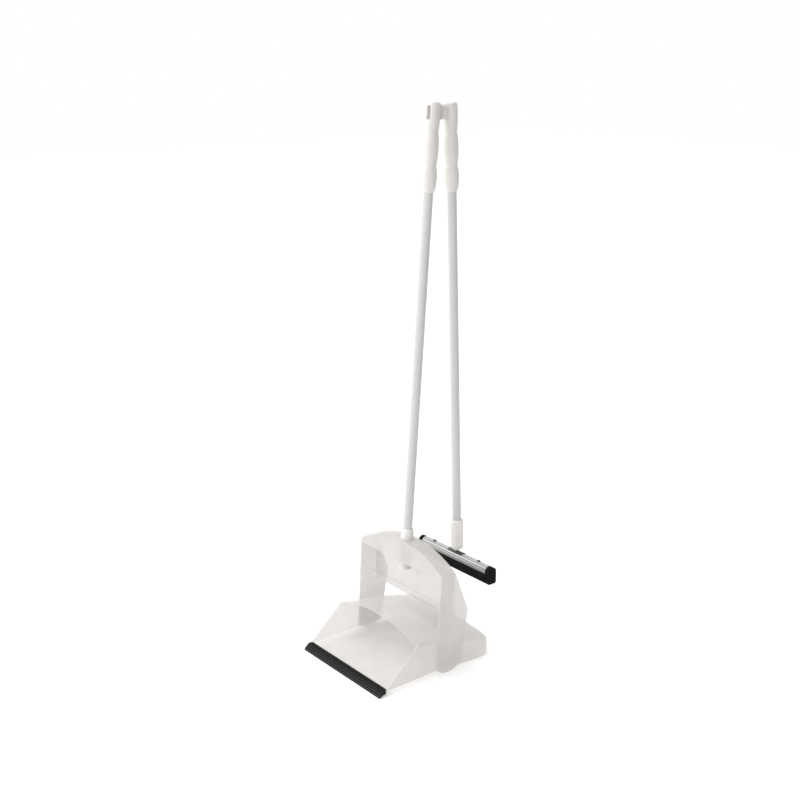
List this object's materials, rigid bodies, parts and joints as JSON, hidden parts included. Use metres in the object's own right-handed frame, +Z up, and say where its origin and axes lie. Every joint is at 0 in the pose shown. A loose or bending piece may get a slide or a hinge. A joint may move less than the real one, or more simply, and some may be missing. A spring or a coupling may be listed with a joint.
{
  "type": "dust pan and squeegee set",
  "caption": "Long-handled hooded dust pan with a hinged yoke and rubber lip, and a long-handled floor squeegee that plugs into the eye of its grip.",
  "frame": {"origin": "on the floor, under the middle of the whole set's bounding box", "axes": "+X to the right along the pan's lip, +Y from the lip to the tail, +Z up along the sticks"},
  "size_m": [0.306, 0.3786, 1.2999],
  "materials": {
    "pan_plastic": "satin milky polypropylene",
    "yoke_plastic": "satin milky polypropylene",
    "socket_plastic": "satin",
    "grip_plastic": "satin",
    "pin_plastic": "satin",
    "plug_plastic": "matt",
    "stick_paint": "white powder coat",
    "screw_steel": "zinc plated",
    "bright_steel": "zinc plated",
    "dark_steel": "phosphated",
    "channel_steel": "galvanised, satin",
    "lip_rubber": "matt black",
    "blade_rubber": "matt black cellular rubber"
  },
  "bodies": {
    "pan": {"pan_shell": "pan_plastic", "lip_seal": "lip_rubber"},
    "yoke": {"yoke_shell": "yoke_plastic", "pivot_pins": "pin_plastic", "stick_socket": "socket_plastic", "socket_screw": "screw_steel", "pan_stick": "stick_paint", "pan_stick_plug": "plug_plastic", "pan_grip": "grip_plastic"},
    "squeegee": {"squeegee_grip": "grip_plastic", "squeegee_stick": "stick_paint", "squeegee_stick_plug": "plug_plastic", "squeegee_socket": "socket_plastic", "squeegee_screw": "screw_steel", "stud_nut": "bright_steel", "head_stud": "bright_steel", "saddle_plate": "dark_steel", "blade_channel": "channel_steel", "holder_bolts": "bright_steel", "holder_nuts": "bright_steel", "blade_front": "blade_rubber", "blade_rear": "blade_rubber"}
  },
  "joints": [
    {"name": "yoke_pivot", "type": "hinge", "parent": "pan", "child": "yoke", "pos_m": [0, -0.0043, 0.06], "axis": [1, 0, 0], "range_deg": [0, 55]},
    {"name": "squeegee_unhook", "type": "slide", "parent": "yoke", "child": "squeegee", "axis": [0, 1, 0], "range_m": [0, 0.12]}
  ]
}
